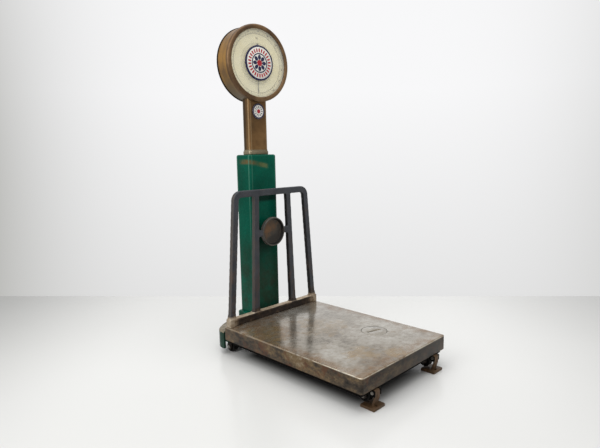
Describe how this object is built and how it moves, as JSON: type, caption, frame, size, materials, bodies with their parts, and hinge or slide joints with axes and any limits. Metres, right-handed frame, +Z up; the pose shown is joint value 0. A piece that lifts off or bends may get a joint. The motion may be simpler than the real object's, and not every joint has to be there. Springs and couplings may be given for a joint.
{
  "type": "platform scale",
  "caption": "Low weighing platform with a back railing, a column behind it and a round dial head that shows the load.",
  "frame": {"origin": "on the floor under the middle of the whole machine's bounding box", "axes": "+Z up, the platform's free end and the dial face -Y, +X to the right for someone who stands in front of the dial"},
  "size_m": [0.55, 0.917, 1.4527],
  "materials": {
    "green_paint": "worn gloss enamel paint on cast iron and sheet steel",
    "brass": "aged and brushed",
    "enamel": "white vitreous enamel with a dark blue rim",
    "glass": "clear",
    "dial_cream": "matt cream with black graduations",
    "black_paint": "matt black",
    "deck": "polished by use, with rust patches",
    "grey_iron": "dull grey with rust at the edges",
    "rusty_iron": "rusty, worn bright at the rims",
    "steel": "plain"
  },
  "bodies": {
    "base": {"base_frame": "rusty_iron", "rear_box": "green_paint", "column_foot": "green_paint", "column_shell": "green_paint", "column_bolts": "steel", "column_cover": "green_paint", "column_cover_screws": "steel", "neck_collar": "brass", "neck_tube": "brass", "badge_rim": "brass", "badge_plate": "enamel", "dial_case": "brass", "dial_bezel": "brass", "dial_glass": "glass", "glass_ring": "brass", "dial_plate": "dial_cream", "centre_roundel": "enamel", "case_cover": "brass", "case_cover_screws": "steel", "movement_frame": "brass", "movement_bridge": "brass", "movement_screws": "steel", "front_brackets": "rusty_iron", "rear_brackets": "rusty_iron", "bracket_bolts": "steel", "wheel_axles": "steel", "foot_pins": "steel", "front_stands": "grey_iron", "rear_stands": "grey_iron", "dashpot_cylinder": "brass"},
    "platform": {"platform_plate": "deck", "platform_plug": "deck", "back_railing": "grey_iron", "railing_bolts": "steel", "platform_bearings": "grey_iron"},
    "long_lever": {"long_lever": "grey_iron", "long_pivots": "steel"},
    "short_lever": {"short_lever": "grey_iron", "short_pivots": "steel"},
    "pull": {"draft_rod": "steel", "crosshead": "steel", "rack": "brass", "pull_ribbon": "brass", "dashpot_piston": "steel"},
    "pendulum": {"pendulum_sector": "brass", "pendulum_stem": "steel", "pendulum_bob": "grey_iron"},
    "indicator": {"pointer_shaft": "steel", "pointer": "black_paint"},
    "front_wheel_left": {"front_wheel_left": "rusty_iron"},
    "front_wheel_right": {"front_wheel_right": "rusty_iron"},
    "rear_wheel_left": {"rear_wheel_left": "rusty_iron"},
    "rear_wheel_right": {"rear_wheel_right": "rusty_iron"},
    "parking_foot_left": {"parking_foot_left": "rusty_iron"},
    "parking_foot_right": {"parking_foot_right": "rusty_iron"}
  },
  "joints": [
    {"name": "platform_travel", "type": "slide", "parent": "base", "child": "platform", "axis": [0, 0, -1], "range_m": [0, 0.00194], "stiffness_N_per_m": 950000, "springref_m": -0.0006},
    {"name": "long_lever_turn", "type": "hinge", "parent": "base", "child": "long_lever", "pos_m": [0, -0.3815, 0.088], "axis": [-1, 0, 0], "range_deg": [0, 2.26], "stiffness_Nm_per_rad": 200, "springref_deg": -2.29},
    {"name": "short_lever_turn", "type": "hinge", "parent": "base", "child": "short_lever", "pos_m": [0, 0.2585, 0.088], "axis": [1, 0, 0], "range_deg": [0, 2.26], "stiffness_Nm_per_rad": 200, "springref_deg": -1.72},
    {"name": "rod_travel", "type": "slide", "parent": "base", "child": "pull", "axis": [0, 0, -1], "range_m": [0, 0.0302], "stiffness_N_per_m": 500, "springref_m": -0.018, "deforming": ["pull_ribbon"]},
    {"name": "pendulum_swing", "type": "hinge", "parent": "base", "child": "pendulum", "pos_m": [-0.04192, 0.39416, 1.3287], "axis": [0.061, 0.9981, 0], "range_deg": [0, 41.3]},
    {"name": "pointer_turn", "type": "hinge", "parent": "base", "child": "indicator", "pos_m": [0, 0.3916, 1.2837], "axis": [0.061, 0.9981, 0], "range_deg": [0, 345.5]},
    {"name": "front_wheel_left_roll", "type": "hinge", "parent": "base", "child": "front_wheel_left", "pos_m": [-0.198, -0.4015, 0.038], "axis": [1, 0, 0], "continuous": true},
    {"name": "rear_wheel_left_roll", "type": "hinge", "parent": "base", "child": "rear_wheel_left", "pos_m": [-0.22, 0.3325, 0.025], "axis": [1, 0, 0], "continuous": true},
    {"name": "parking_foot_left_swing", "type": "hinge", "parent": "base", "child": "parking_foot_left", "pos_m": [-0.198, -0.4425, 0.06], "axis": [-1, 0, 0], "range_deg": [0, 92]},
    {"name": "front_wheel_right_roll", "type": "hinge", "parent": "base", "child": "front_wheel_right", "pos_m": [0.198, -0.4015, 0.038], "axis": [1, 0, 0], "continuous": true},
    {"name": "rear_wheel_right_roll", "type": "hinge", "parent": "base", "child": "rear_wheel_right", "pos_m": [0.22, 0.3325, 0.025], "axis": [1, 0, 0], "continuous": true},
    {"name": "parking_foot_right_swing", "type": "hinge", "parent": "base", "child": "parking_foot_right", "pos_m": [0.198, -0.4425, 0.06], "axis": [-1, 0, 0], "range_deg": [0, 92]}
  ],
  "couplings": [
    {"joint": "long_lever_turn", "follows": "platform_travel", "rad_per_m": 20},
    {"joint": "short_lever_turn", "follows": "platform_travel", "rad_per_m": 20},
    {"joint": "rod_travel", "follows": "platform_travel", "ratio": 15.462},
    {"joint": "pendulum_swing", "follows": "platform_travel", "rad_per_m": 368.14},
    {"joint": "pointer_turn", "follows": "platform_travel", "rad_per_m": 3092.4}
  ]
}
